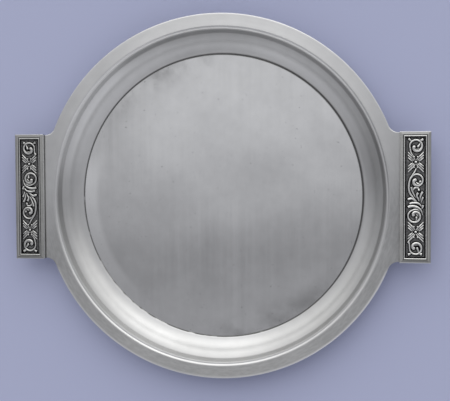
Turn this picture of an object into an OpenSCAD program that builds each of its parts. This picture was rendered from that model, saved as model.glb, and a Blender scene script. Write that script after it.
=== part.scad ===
// Round serving tray: one pressed steel sheet with a flat well, an ogee wall and a stepped rim.
// At each side a tab of the rim carries a moulded handle frame, held by two rivets that a cast
// scrollwork plaque covers. The well's underside is the plane z = 0, and the handles lie along X.

/* [Tray sheet] */
// Diameter of the round rim
rim_d = 356; // [340:1:400]
// Diameter of the coined line round the flat well
well_d = 280; // [250:1:290]
// Diameter at the middle of the small step inside the flat rim
step_d = 329; // [320:1:332]
// Height of the flat rim above the well's floor
tray_depth = 20; // [16:0.5:30]
// Thickness of the sheet
sheet_t = 1.2; // [0.8:0.1:1.6]
// Width of the coined line
line_w = 1.4; // [0.8:0.1:2.4]
// Depth of the coined line
line_depth = 0.45; // [0.2:0.05:0.6]

/* [Tray wall] */
// Height of the step between the shoulder and the rim
step_h = 1; // [0.6:0.1:1.4]
// Inside bend radius at the top of the step
step_bend_r = 0.7; // [0.5:0.1:1.2]
// Bend radius at the foot of the step
foot_bend_r = 0.8; // [0.6:0.1:1.6]
// Width of the flat shoulder between riser and step
shoulder_w = 0.6; // [0.2:0.1:2]
// Inside bend radius between riser and shoulder
shoulder_bend_r = 0.5; // [0.3:0.1:1.2]
// Drop from the rim to the ledge under the riser
ledge_drop = 7.6; // [6:0.1:10]
// Slope of the riser between ledge and shoulder, in degrees
riser_slope = 68; // [60:1:78]
// Bend radius between ledge and riser
ledge_bend_r = 1.6; // [1:0.1:2.4]
// Slope of the ogee where it leaves the coined line, in degrees
ogee_foot_slope = 4; // [2:0.5:12]
// How much flatter the ogee is at the ledge than on average, in degrees
ogee_swing = 11.5; // [4:0.5:16]

/* [Handle frames] */
// Length of a frame, along Y
frame_len = 124; // [104:1:150]
// Width of a frame, along X
frame_w = 29; // [24:0.5:36]
// Height of a frame above its tab
frame_h = 5; // [4.4:0.1:8]
// How far a frame laps over the round rim
frame_lap = 3; // [1:0.5:6]
// How far a tab's edge lies inside the frame's outline
tab_inset = 0.5; // [0.2:0.1:2]
// Radius of the hollow corner between a tab and the round rim
tab_fillet_r = 10; // [6:0.5:16]
// Width of the frame's border along its long sides
side_border_w = 3.2; // [2.6:0.1:5]
// Width of the frame's border at its two ends
end_border_w = 3; // [2.6:0.1:5]
// Width of the flat lip round the pocket
lip_w = 0.9; // [0.5:0.1:1.4]
// Depth of the hollow moulding below the lip
cove_depth = 0.4; // [0.4:0.1:1.4]
// Chamfer of the frame's outer edge
edge_chamfer = 0.5; // [0.2:0.1:0.8]
// Depth of the pocket that takes the plaque
pocket_depth = 3; // [2.6:0.1:3.2]

/* [Rivets] */
// Diameter of a rivet's shank
rivet_d = 4; // [3:0.1:5]
// Distance between the two rivets of a handle
rivet_pitch = 80; // [50:1:90]
// Diameter of the domed head under the tab
head_d = 8; // [6.5:0.1:10]
// Height of the domed head
head_h = 1.6; // [1:0.1:2.4]
// Diameter of the closing head in the pocket's floor
closing_d = 6.4; // [5.6:0.1:8]
// Height of the closing head
closing_h = 0.9; // [0.5:0.1:1]
// Clearance all round a rivet's shank and closing head
rivet_gap = 0.05; // [0.02:0.01:0.2]

/* [Plaques] */
// Clearance between a plaque and the sides of its pocket
plaque_gap = 0.25; // [0.1:0.05:0.4]
// How far the plaque's rim lies below the frame's lip
plaque_sunk = 0.2; // [0:0.1:0.5]
// Thickness of the plaque under its field
plate_t = 1.3; // [1:0.1:1.5]
// Width of the plaque's raised rim
plaque_rim_w = 1.6; // [1.2:0.1:2.4]
// Chamfer along both edges of the plaque's rim
plaque_chamfer = 0.4; // [0.2:0.1:0.5]
// Height of the scrollwork above the field
relief_h = 1.1; // [0.6:0.1:1.2]
// Width of the scrollwork's stems
stem_w = 2; // [1.4:0.1:2.4]
// Diameter of the round eye at the end of each scroll
eye_d = 3.4; // [2.4:0.1:3.6]
// Diameter of a small round bud
bud_d = 2; // [1.6:0.1:2.4]
// Diameter of the round tip of a leaf
tip_d = 2.4; // [1.8:0.1:2.8]
// Diameter of the button in the middle of a rosette
button_d = 2.8; // [2:0.1:3.4]
// How far eyes, buds and buttons stand above the stems
eye_proud = 0.2; // [0.1:0.05:0.3]

/* [Hidden] */
$fn = 96;
// Steps in each bend of the sheet, and in each moulding
bend_steps = 8;
// How far a cut runs past the face that it opens
clear = 1;
// How far the pressed wall and the flat rim overlap before they become one sheet
flat_lap = 2;

// The direction from the sheet's upper face into the sheet, where its slope is a degrees
function into(a) = [sin(a), -cos(a)];
// The direction outwards along the sheet there
function along(a) = [cos(a), sin(a)];
function reversed(list) = [for (i = [len(list) - 1 : -1 : 0]) list[i]];

// The sheet's section, from the rim inwards: step, shoulder, riser, ledge, ogee and well
rim_r = rim_d / 2;
rim_z = sheet_t + tray_depth;
shoulder_z = rim_z - step_h;
ledge_z = rim_z - ledge_drop;
step_r = step_bend_r + sheet_t;
step_slope = acos(1 - step_h / (step_r + foot_bend_r));
step_c = [step_d / 2 + step_r * sin(step_slope), rim_z - step_r];
foot_c = [step_d / 2 - foot_bend_r * sin(step_slope), shoulder_z + foot_bend_r];
flat_r = step_c.x + flat_lap;
shoulder_r = shoulder_bend_r + sheet_t;
shoulder_c = [foot_c.x - shoulder_w, shoulder_z - shoulder_r];
riser_top = shoulder_c - shoulder_r * into(riser_slope);
riser_foot_z = ledge_z + ledge_bend_r * (1 - cos(riser_slope));
riser_foot_x = riser_top.x - (riser_top.y - riser_foot_z) / tan(riser_slope);
ledge_c = [riser_foot_x - ledge_bend_r * sin(riser_slope), ledge_z + ledge_bend_r];
ogee_start = [well_d / 2 + line_w / 2, sheet_t];
ogee_end_slope = slope(ogee_start, [ledge_c.x, ledge_z]) - ogee_swing;
ogee_end = ledge_c + ledge_bend_r * into(ogee_end_slope);
// The ogee is two arcs of one radius, and its steepest slope is where they meet
ogee_span = ogee_end - ogee_start;
ogee_ends = along(ogee_foot_slope) + along(ogee_end_slope);
ogee_slope = slope(ogee_start, ogee_end) + acos(ogee_span * ogee_ends / 2 / norm(ogee_span));
ogee_r = ogee_span.x / (2 * sin(ogee_slope) - ogee_ends.y);

// Every bend of the wall: its centre, its radius, which is negative where the centre lies under the
// sheet, and the slopes at which it starts and ends
wall_bends = [
    [ogee_start - ogee_r * into(ogee_foot_slope), ogee_r, ogee_foot_slope, ogee_slope],
    [ogee_end + ogee_r * into(ogee_end_slope), -ogee_r, ogee_slope, ogee_end_slope],
    [ledge_c, ledge_bend_r, ogee_end_slope, riser_slope],
    [shoulder_c, -shoulder_r, riser_slope, 0],
    [foot_c, foot_bend_r, 0, step_slope],
    [step_c, -step_r, step_slope, 0]
];

function slope(from, to) = atan2(to.y - from.y, to.x - from.x);
function bend(centre, r, from, to) =
    [for (i = [0 : bend_steps]) centre + r * into(from + (to - from) * i / bend_steps)];
// One face of the pressed wall, a depth below the upper face
function wall_face(depth) = [for (b = wall_bends) each bend(b[0], b[1] + depth, b[2], b[3])];

// The handles: the frame's place, lapped over the rim but clear of the step, its pocket, and the
// plaque in it
frame_x = max(rim_r - frame_lap, flat_r) + frame_w / 2;
pocket = [frame_w - 2 * side_border_w, frame_len - 2 * end_border_w];
pocket_z = frame_h - pocket_depth;
plaque = pocket - 2 * plaque_gap * [1, 1];
field = plaque - 2 * plaque_rim_w * [1, 1];
field_z = pocket_z + plate_t;
relief_root = plate_t / 2;
plaque_top = frame_h - plaque_sunk;
tab_half = frame_len / 2 - tab_inset;
tab_end = frame_x + frame_w / 2 - tab_inset;
// The centre of a hollow tab corner, a fillet outside both the rim and the tab's edge
fillet_y = tab_half + tab_fillet_r;
fillet_x = sqrt((rim_r + tab_fillet_r) ^ 2 - fillet_y ^ 2);

// The scrollwork is drawn on a field of this size, and follows the plaque's own field
drawn = [18.8, 114.3];
// Each rosette's middle, and in one of its four leaves the tips of the ribs and the place of a bud
rosettes = [[0.4, 33.2], [0.4, -32.6]];
rosette_ribs = [[7.2, 9], [7.5, 6.4], [7.4, 4], [6.6, 1.8]];
rosette_bud = [1.8, 4.9];
rosette_hub_r = 2.4;
// Widths at the start, in the middle and at the end, in stem widths
rib_widths = [0.5, 0.8, 0.6];
scroll_widths = [0.8, 1, 0.9];
// Scrolls: centre, first and last radius, first angle and turn, in degrees
scrolls = [
    [[0.5, 48.2], 5.8, 1.6, 205, -375],
    [[1.3, 16.2], 5.6, 1.5, 135, -325],
    [[-0.9, -17.6], 5.8, 1.5, 110, 380],
    [[0.3, -47.9], 5.6, 1.8, 170, 370]
];
// Leaves and stems: the widths, and the route
leaves = [
    [[1.2, 1, 0.5], [[-6.6, 55], [-5.4, 54.4], [-3.6, 53]]],
    [[1.2, 1, 0.5], [[7.2, 54.8], [5.4, 53.7], [3, 52.9]]],
    [[0.5, 0.8, 0.8], [[-0.6, 37.2], [-2.6, 39.6], [-4.2, 42.2], [-4.9, 45.4]]],
    [[0.6, 0.9, 1], [[5.4, 50.6], [4.7, 48.8], [2.8, 48]]],
    [[0.4, 0.9, 0.4], [[-1.2, 46.4], [0.4, 45.1], [2.6, 45.2], [4.3, 46.6]]],
    [[0.5, 0.8, 0.8], [[0.8, 27.2], [-0.4, 24.6], [-2.2, 21.6], [-3.8, 19.2]]],
    [[0.5, 1, 0.8], [
        [1.4, -4.2], [-0.9, -1.6], [-2.8, 0.9], [-4.6, 3.2], [-5.8, 6.4],
        [-6.1, 10], [-5.7, 14], [-4.6, 17.8], [-2.7, 20.1]
    ]],
    [[0.5, 0.7, 0.8], [[6.8, 16.6], [5.9, 15.1], [4.4, 14.8]]],
    [[0.4, 0.9, 0.4], [[0.6, 14.4], [1.8, 13.1], [3.6, 13.1], [5, 14.2]]],
    [[1.1, 0.8, 0.3], [[-3.8, 9.8], [-3, 6.6], [-1.4, 2.8], [0.6, -0.6]]],
    [[0.5, 0.9, 0.6], [[-2.6, 4.8], [-2, 7.2], [-0.6, 8.9], [1.2, 9.3], [2.8, 8.5], [3.4, 6.9]]],
    [[1.1, 0.8, 0.5], [[2.6, 4.4], [1.5, 2.6], [1.6, 0.6], [2.7, -1.2], [3.4, -3.4]]],
    [[1, 0.9, 0.4], [[6.8, 5.4], [5.4, 2.9], [4.5, 0.2], [4.6, -3]]],
    [[1, 0.8, 0.4], [[7.2, 0.4], [6.2, -1.8], [5.4, -4.6]]],
    [[1.1, 0.9, 0.4], [[-6.2, -1.6], [-4.2, -1], [-2.4, -1.4], [-0.6, -2.8], [0.8, -4.2]]],
    [[0.9, 1, 0.5], [[-5.4, -6], [-2.4, -5.1], [1, -5.2], [3.8, -6.3], [6, -8.8]]],
    [[1.2, 1, 0.4], [
        [-6.9, -9.2], [-4.6, -8.3], [-1.2, -8.3], [1.8, -9.2],
        [4.4, -11], [6, -13.4], [6.7, -16.6]
    ]],
    [[0.6, 0.9, 0.4], [[-3.4, -12.4], [-0.4, -11.4], [2.6, -11.9], [4.6, -13.8]]],
    [[1.1, 0.8, 0.3], [[7.2, -7.2], [6.6, -9.4], [5.6, -11]]],
    [[0.6, 0.8, 1], [[0.4, -22.8], [1.2, -20.8], [1.1, -18.9]]],
    [[0.4, 0.9, 0.4], [[-1, -16.4], [0.4, -15.9], [2, -16.4], [2.9, -18.2], [2.5, -20.2]]],
    [[1.2, 0.8, 0.8], [[-6.7, -41.6], [-5.6, -43.4], [-5.2, -47]]],
    [[0.6, 0.8, 1], [[3.2, -51.6], [2.5, -49.4], [1.9, -47.9]]],
    [[0.4, 0.9, 0.4], [[-1.6, -46.6], [-0.4, -45], [1.6, -44.5], [3.4, -45.4]]],
    [[1.3, 0.9, 0.5], [[-6.6, -54], [-5.2, -53.4], [-3.6, -52.4]]],
    [[1.3, 1, 0.5], [[6.2, -53.6], [4.8, -53.2], [3, -52.4]]]
];
// Round tips of leaves
tips = [[-6.4, -1.6], [2.7, 48], [4.4, 14.9], [3.2, 7], [1.1, -18.9], [1.9, -47.9]];
leaf_steps = 4;
scroll_steps = 28;
// How late a scroll curls in: at 1 it does so evenly
curl_in = 5;

function placed(p) = [p.x * field.x / drawn.x, p.y * field.y / drawn.y];
// A smooth curve through points, after t of its n stretches
function curve(p, t) =
    let (n = len(p) - 1, s = min(floor(t), n - 1), f = t - s)
    let (a = p[max(s - 1, 0)], b = p[s], c = p[s + 1], d = p[min(s + 2, n)])
    b + f / 2 * (c - a + f * (2 * a - 5 * b + 4 * c - d + f * (3 * b - a - 3 * c + d)));
function smooth(p) = [for (i = [0 : leaf_steps * (len(p) - 1)]) curve(p, i / leaf_steps)];
function spiral(s) =
    [for (i = [0 : scroll_steps]) let (f = i / scroll_steps, a = s[3] + s[4] * f)
        s[0] + (s[1] + (s[2] - s[1]) * f ^ curl_in) * [cos(a), sin(a)]];
function heading(p, i) = let (d = p[min(i + 1, len(p) - 1)] - p[max(i - 1, 0)]) d / norm(d);
function edge(p, widths, side) =
    [for (i = [0 : len(p) - 1]) let (h = heading(p, i), f = 2 * i / (len(p) - 1))
        p[i] + side * stem_w / 2 * lookup(f, [[0, widths[0]], [1, widths[1]], [2, widths[2]]]) * [-h.y, h.x]];

// A block whose section along X is the first child and along Y the second, mitred where they meet
module mitred(size) {
    intersection() {
        rotate([90, 0, 0]) linear_extrude(size.y, center = true) children(0);
        rotate([90, 0, 90]) linear_extrude(size.x, center = true) children(1);
    }
}

module right_handle() {
    translate([frame_x, 0, rim_z]) children();
}

module left_handle() {
    rotate(180) right_handle() children();
}

module both_rivets() {
    for (side = [-1, 1]) translate([0, side * rivet_pitch / 2, 0]) children();
}

module sheet_section() {
    groove = [well_d / 2 - line_w / 2, well_d / 2];
    upper = [[0, sheet_t], [groove[0], sheet_t], [groove[1], sheet_t - line_depth], each wall_face(0)];
    lower = [[0, 0], [ogee_start.x, 0], each wall_face(sheet_t)];
    polygon([each upper, [flat_r, rim_z], [flat_r, rim_z - sheet_t], each reversed(lower)]);
}

module tab_outline() {
    translate([0, -tab_half]) square([tab_end, 2 * tab_half]);
    for (side = [-1, 1]) difference() {
        polygon([[0, 0], [fillet_x, 0], [fillet_x, side * fillet_y]]);
        translate([fillet_x, side * fillet_y]) circle(tab_fillet_r);
    }
}

module rim_outline() {
    difference() {
        union() {
            circle(rim_r);
            tab_outline();
            rotate(180) tab_outline();
        }
        circle(flat_r - flat_lap / 2);
    }
}

module rivet_hole() {
    translate([0, 0, -sheet_t - clear]) cylinder(h = frame_h + sheet_t, d = rivet_d + 2 * rivet_gap);
}

module tray_body() {
    color("silver") difference() {
        union() {
            rotate_extrude() sheet_section();
            translate([0, 0, rim_z - sheet_t]) linear_extrude(sheet_t) rim_outline();
        }
        right_handle() both_rivets() rivet_hole();
        left_handle() both_rivets() rivet_hole();
    }
}

// The frame's section across one border and its mirror image: chamfer, hollow cove and lip
module frame_section(w, border_w) {
    cove = [w / 2 - edge_chamfer, frame_h - cove_depth];
    cove_w = border_w - lip_w - edge_chamfer;
    side = [
        [w / 2, 0],
        [w / 2, cove.y - edge_chamfer],
        for (i = [0 : bend_steps]) let (f = i / bend_steps)
            [cove.x - cove_w * f, cove.y + cove_depth * (1 - cos(90 * f))]
    ];
    polygon([each side, each [for (p = reversed(side)) [-p.x, p.y]]]);
}

module handle_frame() {
    difference() {
        mitred([frame_w, frame_len]) {
            frame_section(frame_w, side_border_w);
            frame_section(frame_len, end_border_w);
        }
        translate([-pocket.x / 2, -pocket.y / 2, pocket_z]) cube([pocket.x, pocket.y, frame_h]);
        both_rivets() rivet_hole();
        both_rivets() translate([0, 0, pocket_z - closing_h])
            cylinder(h = closing_h, d1 = rivet_d + 2 * rivet_gap, d2 = closing_d + 2 * rivet_gap);
    }
}

module left_handle_frame() {
    color("darkgray") left_handle() handle_frame();
}

module right_handle_frame() {
    color("darkgray") right_handle() handle_frame();
}

// Domed head under the tab, shank through tab and frame, and a closing head flush in the pocket
module rivet() {
    dome_r = (head_d ^ 2 / 4 + head_h ^ 2) / (2 * head_h);
    dome_angle = asin(head_d / 2 / dome_r);
    dome = [for (i = [0 : bend_steps])
        [0, dome_r - head_h - sheet_t] + dome_r * into(dome_angle * i / bend_steps)];
    rotate_extrude() polygon([
        each dome,
        [rivet_d / 2, -sheet_t],
        [rivet_d / 2, pocket_z - closing_h],
        [closing_d / 2, pocket_z],
        [0, pocket_z]
    ]);
}

module left_handle_rivets() {
    color("lightgray") left_handle() both_rivets() rivet();
}

module right_handle_rivets() {
    color("lightgray") right_handle() both_rivets() rivet();
}

module plaque_section(w) {
    rim = plaque_top - plaque_chamfer;
    polygon([
        [-w / 2, pocket_z], [w / 2, pocket_z], [w / 2, rim],
        [w / 2 - plaque_chamfer, plaque_top], [plaque_chamfer - w / 2, plaque_top], [-w / 2, rim]
    ]);
}

module field_section(w) {
    rim = plaque_top - plaque_chamfer;
    flare = w / 2 + plaque_chamfer + clear;
    polygon([
        [-w / 2, field_z], [w / 2, field_z], [w / 2, rim],
        [flare, plaque_top + clear], [-flare, plaque_top + clear], [-w / 2, rim]
    ]);
}

// One raised stem or leaf, rooted in the plate, whose width changes along its route
module strand(route, widths) {
    p = [for (q = route) placed(q)];
    translate([0, 0, -relief_root]) linear_extrude(relief_h + relief_root)
        polygon([each edge(p, widths, 1), each reversed(edge(p, widths, -1))]);
}

module rosette_leaves() {
    for (u = [-1, 1], v = [-1, 1], tip = rosette_ribs) {
        root = rosette_hub_r * tip / norm(tip);
        strand([for (q = [root, (root + tip) / 2, tip]) [u * q.x, v * q.y]], rib_widths);
    }
}

// A round boss with a domed top, rooted in the plate
module dome(d) {
    centre = [0, relief_h + eye_proud - d / 2];
    rotate_extrude() polygon([
        [0, -relief_root],
        [d / 2, -relief_root],
        for (i = [0 : bend_steps]) centre + d / 2 * into(90 + 90 * i / bend_steps)
    ]);
}

module scrollwork() {
    for (s = scrolls) strand(spiral(s), scroll_widths);
    for (leaf = leaves) strand(smooth(leaf[1]), leaf[0]);
    for (r = rosettes) translate(placed(r)) rosette_leaves();
    for (s = scrolls) translate(placed(spiral(s)[scroll_steps])) dome(eye_d);
    for (r = rosettes) translate(placed(r)) dome(button_d);
    for (r = rosettes, u = [-1, 1], v = [-1, 1])
        translate(placed(r + [u * rosette_bud.x, v * rosette_bud.y])) dome(bud_d);
    for (t = tips) translate(placed(t)) dome(tip_d);
}

module ornament_plaque() {
    difference() {
        mitred(plaque) {
            plaque_section(plaque.x);
            plaque_section(plaque.y);
        }
        mitred(plaque) {
            field_section(field.x);
            field_section(field.y);
        }
    }
    translate([0, 0, field_z]) scrollwork();
}

module left_ornament_plaque() {
    color("dimgray") left_handle() ornament_plaque();
}

module right_ornament_plaque() {
    color("dimgray") right_handle() ornament_plaque();
}

tray_body();
left_handle_frame();
right_handle_frame();
left_ornament_plaque();
right_ornament_plaque();
left_handle_rivets();
right_handle_rivets();
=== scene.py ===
# %% [markdown]
# # A round steel tray with two ornamented handles
#
# The tray is one pressed sheet of satin steel: a flat well, an ogee wall, a riser with a small stepped
# shoulder, and a flat rim. At each side a tab of the rim carries a moulded frame, and a cast plaque of
# blackened scrollwork lies in the frame's pocket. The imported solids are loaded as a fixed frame, and every
# piece below is made in that frame, in metres, so that nothing has to be fitted afterwards.

# %% Load the fixed frame
import math

import bpy
from mathutils import Matrix, Vector


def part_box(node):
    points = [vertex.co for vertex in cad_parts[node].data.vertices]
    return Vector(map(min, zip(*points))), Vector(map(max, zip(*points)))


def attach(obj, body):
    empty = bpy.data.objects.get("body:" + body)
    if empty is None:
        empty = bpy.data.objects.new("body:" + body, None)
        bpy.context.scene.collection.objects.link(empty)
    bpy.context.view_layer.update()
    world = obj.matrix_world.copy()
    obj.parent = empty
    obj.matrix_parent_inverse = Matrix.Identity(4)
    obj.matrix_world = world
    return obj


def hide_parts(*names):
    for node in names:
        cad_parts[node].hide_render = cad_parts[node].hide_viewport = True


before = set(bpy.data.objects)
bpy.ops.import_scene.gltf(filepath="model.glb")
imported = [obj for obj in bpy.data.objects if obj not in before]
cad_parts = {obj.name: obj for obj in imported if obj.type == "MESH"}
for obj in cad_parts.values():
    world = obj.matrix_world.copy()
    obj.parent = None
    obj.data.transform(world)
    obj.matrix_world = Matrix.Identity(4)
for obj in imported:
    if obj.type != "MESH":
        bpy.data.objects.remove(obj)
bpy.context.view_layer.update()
MM = 0.001


def new_object(name, data):
    """An object in the scene that holds this data."""
    made = bpy.data.objects.new(name, data)
    bpy.context.scene.collection.objects.link(made)
    return made


print("nodes:", ", ".join(sorted(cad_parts)))

# %% [markdown]
# ## Expressions that build nodes
#
# Materials, the studio and the shapes all need node trees. Linking nodes by hand takes many lines, so a
# small class wraps one output socket: an expression on it adds Math nodes, and one method adds any other
# node. The same class serves shader trees and geometry trees, because both know the Math node.

# %% A socket that takes part in Python expressions
def set_stops(ramp, stops):
    """Give a colour ramp grey stops, as (place, value) pairs in rising order."""
    ramp.elements.remove(ramp.elements[1])
    for i, (place, value) in enumerate(stops):
        stop = ramp.elements.new(place) if i else ramp.elements[0]
        stop.position = place
        stop.color = (value, value, value, 1)


class Wire:
    """The output of a node. Expressions on it add Math nodes to its tree."""

    def __init__(self, output):
        self.output = output

    def node(self, kind, settings=None, sockets=None, output=0):
        """Add a node, set its settings, then its sockets' values or links, and give one output."""
        tree = self.output.id_data
        made = tree.nodes.new(kind)
        for name, value in (settings or {}).items():
            if name == "stops":
                set_stops(made.color_ramp, value)
            else:
                setattr(made, name, value)
        for key, value in (sockets or {}).items():
            for one in value if isinstance(value, list) else [value]:
                if isinstance(one, Wire):
                    tree.links.new(one.output, made.inputs[key])
                else:
                    made.inputs[key].default_value = one
        return Wire(made.outputs[output])

    def other(self, output):
        """Another output of the same node."""
        return Wire(self.output.node.outputs[output])

    def maths(self, operation, *values):
        return self.node("ShaderNodeMath", {"operation": operation}, dict(enumerate(values)))

    def __add__(self, value):
        return self.maths("ADD", self, value)

    def __radd__(self, value):
        return self.maths("ADD", value, self)

    def __sub__(self, value):
        return self.maths("SUBTRACT", self, value)

    def __rsub__(self, value):
        return self.maths("SUBTRACT", value, self)

    def __mul__(self, value):
        return self.maths("MULTIPLY", self, value)

    def __rmul__(self, value):
        return self.maths("MULTIPLY", value, self)

    def __truediv__(self, value):
        return self.maths("DIVIDE", self, value)

    def __rtruediv__(self, value):
        return self.maths("DIVIDE", value, self)

    def __pow__(self, value):
        return self.maths("POWER", self, value)

    def __abs__(self):
        return self.maths("ABSOLUTE", self)

    def larger(self, value):
        return self.maths("MAXIMUM", self, value)

    def smaller(self, value):
        return self.maths("MINIMUM", self, value)

    def xyz(self):
        """The three components of a vector."""
        x = self.node("ShaderNodeSeparateXYZ", {}, {0: self})
        return x, x.other(1), x.other(2)

    def vector(self, x, y, z):
        return self.node("ShaderNodeCombineXYZ", {}, {0: x, 1: y, 2: z})

    def vector_maths(self, operation, *values, output=0):
        return self.node("ShaderNodeVectorMath", {"operation": operation}, dict(enumerate(values)), output)

    def scaled(self, factor):
        """This vector times a number."""
        return self.node("ShaderNodeVectorMath", {"operation": "SCALE"}, {0: self, "Scale": factor})

    def ramp(self, low, high):
        """0 below low, 1 above high, and a smooth step between."""
        settings = {"interpolation_type": "SMOOTHSTEP"}
        return self.node("ShaderNodeMapRange", settings, {"Value": self, "From Min": low, "From Max": high})

    def between(self, start, full, fade, end):
        """0 up to start, 1 from full to fade, and 0 again from end on."""
        return self.ramp(start, full) - self.ramp(fade, end)

    def within(self, inner, outer):
        """1 where this is closer to 0 than inner, and 0 where it is further off than outer."""
        return 1 - abs(self).ramp(inner, outer)

    def noise(self, scale, detail=2.0):
        """A fractal noise from 0 to 1 on this vector."""
        return self.node("ShaderNodeTexNoise", {}, {"Vector": self, "Scale": scale, "Detail": detail})

    def through(self, stops):
        """A broken line through (place, value) stops, where places run from -1 to 1."""
        marks = [(0.5 + 0.5 * place, value) for place, value in stops]
        return self.node("ShaderNodeValToRGB", {"stops": marks}, {0: 0.5 + 0.5 * self})

    def mix(self, low, high):
        """A colour: low where this is 0, high where it is 1."""
        return self.node("ShaderNodeMix", {"data_type": "RGBA"}, {0: self, 6: low, 7: high}, 2)


print("expressions such as 1 - mask now build nodes")

# %% [markdown]
# ## Camera
#
# The camera stands above the tray and a little to its right, with a long lens, so that the round rim
# stays almost round. It looks at a point close to the middle of the rim's plane.

# %% Place the camera
camera_place = Vector((177.4, 41.6, 1026.1)) * MM
camera_aim = Vector((7.6, -3.5, 21.2)) * MM
camera_roll = math.radians(-0.28)
camera = new_object("camera", bpy.data.cameras.new("camera"))
camera.data.lens = 84
camera.data.sensor_width = 36
bpy.context.scene.camera = camera
back = (camera_place - camera_aim).normalized()
right = Vector((0, 1, 0)).cross(back).normalized()
turn = Matrix((right, back.cross(right), back)).transposed().to_4x4()
camera.matrix_world = Matrix.Translation(camera_place) @ turn @ Matrix.Rotation(camera_roll, 4, "Z")
print("camera distance, m:", round((camera_place - camera_aim).length, 3))

# %% [markdown]
# ## Studio
#
# Satin metal shows the room more than itself. The world is a plain soft tent that fades from a bright end,
# towards +Y, past a dim strip just beyond the zenith, to a faintly lit end. Its middle hangs a little to the
# left of the zenith and leans slightly, and its two sides are dimmer overhead. A weak soft lamp at the
# bright end adds the sparkle on the castings. The floor is plain and pale.

# %% Light the tent
bpy.context.scene.view_settings.view_transform = "Standard"
world = bpy.data.worlds.new("studio")
bpy.context.scene.world = world
world.use_nodes = True
background = world.node_tree.nodes["Background"]
direction = Wire(world.node_tree.nodes.new("ShaderNodeTexCoord").outputs["Generated"])
across, along, _ = direction.xyz()
# Light of the tent's middle by how far a direction points to +Y, from -1 to 1. These strengths and those
# of the sides came from a program that fitted them to the photo's brightness.
faint_end = [(-1, 0.58), (-0.7, 0.42), (-0.45, 0.33), (-0.28, 0.34), (-0.17, 0.45)]
dim_strip = [(-0.138, 0.44), (-0.115, 0.34), (-0.095, 0.33), (-0.072, 0.42)]
overhead = [(0.0, 0.67), (0.047, 0.77), (0.1, 0.74)]
bright_end = [(0.2, 1.04), (0.35, 1.42), (0.55, 1.55), (0.8, 1.46), (1, 1.33)]
# Light of its two sides
left_stops = [(-1, 0.72), (-0.45, 0.45), (-0.15, 0.20), (0.15, 0.49), (0.45, 0.86), (1, 1.5)]
right_stops = [(-1, 0.62), (-0.45, 0.64), (-0.15, 0.39), (0.15, 0.48), (0.45, 0.95), (1, 1.85)]
middle_across = -0.15
lean_across = -0.17

left_light = along.through(left_stops)
right_light = along.through(right_stops)
right_of_middle = across.maths("GREATER_THAN", across, middle_across)
side_light = left_light + right_of_middle * (right_light - left_light)
lean = 0.3 * along.ramp(-0.05, 0.06) - 0.1
middle_light = (along + (across - lean_across) * lean).through(faint_end + dim_strip + overhead + bright_end)
tent = side_light + (across - middle_across).within(0.08, 0.4) * (middle_light - side_light)
tint = along.ramp(-0.2, 0.6).mix((0.97, 0.98, 1.03, 1), (1.0, 1.0, 0.99, 1))
world.node_tree.links.new(tint.output, background.inputs["Color"])
world.node_tree.links.new(tent.output, background.inputs["Strength"])

key_data = bpy.data.lights.new("key", "AREA")
key_data.shape = "RECTANGLE"
key_data.size = 1.4
key_data.size_y = 0.5
key_data.energy = 0.6
key = new_object("key", key_data)
key.location = (0, 1.2, 0.75)
key_aim = Vector((0, 0, 20 * MM))
key.rotation_euler = (key_aim - key.location).to_track_quat("-Z", "Z").to_euler()
print("key lamp, W:", key_data.energy)

# %% Lay the floor
floor_half = 4.0
floor_drop = 0.3 * MM
floor_colour = (0.47, 0.50, 0.70, 1)
floor_mesh = bpy.data.meshes.new("floor")
corners = [(x * floor_half, y * floor_half, -floor_drop) for x, y in ((-1, -1), (1, -1), (1, 1), (-1, 1))]
floor_mesh.from_pydata(corners, [], [(0, 1, 2, 3)])
floor = new_object("floor", floor_mesh)
floor_paint = bpy.data.materials.new("floor_paint")
floor_paint.use_nodes = True
paint = floor_paint.node_tree.nodes["Principled BSDF"]
paint.inputs["Base Color"].default_value = floor_colour
paint.inputs["Roughness"].default_value = 0.8
floor_mesh.materials.append(floor_paint)
print("floor, m:", 2 * floor_half)

# %% [markdown]
# ## The pressed sheet
#
# The sheet's section is a chain of bends. Each bend is an arc that starts and ends at a known slope, and
# its lower face is the same arc one sheet thickness further in. The values below are those of the solids,
# but for the rolled edge and the foot of the ogee, which are drawn a little finer here. The rim's radius and
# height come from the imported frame.

# %% Bends of the wall
tray_lo, tray_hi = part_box("tray_body")
frame_lo, frame_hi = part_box("right_handle_frame")
rim_r = tray_hi.y
rim_z = frame_lo.z
well_r = 140 * MM
sheet_t = 1.2 * MM
groove_w = 1.4 * MM
groove_depth = 0.45 * MM
roll_w = 1.3 * MM
roll_h = 0.6 * MM
step_middle_r = 164.5 * MM
step_h = 1.0 * MM
step_r = 0.7 * MM + sheet_t
foot_bend_r = 0.8 * MM
shoulder_w = 0.6 * MM
shoulder_r = 0.5 * MM + sheet_t
ledge_z = rim_z - 7.6 * MM
ledge_bend_r = 1.6 * MM
riser_slope = math.radians(68)
ogee_foot_slope = math.radians(9)
ogee_swing = math.radians(11.5)


def into(slope):
    """The direction from the upper face into the sheet, where the sheet has this slope."""
    return Vector((math.sin(slope), -math.cos(slope)))


def along_sheet(slope):
    return Vector((math.cos(slope), math.sin(slope)))


def slope_between(start, end):
    return math.atan2(end.y - start.y, end.x - start.x)


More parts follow.
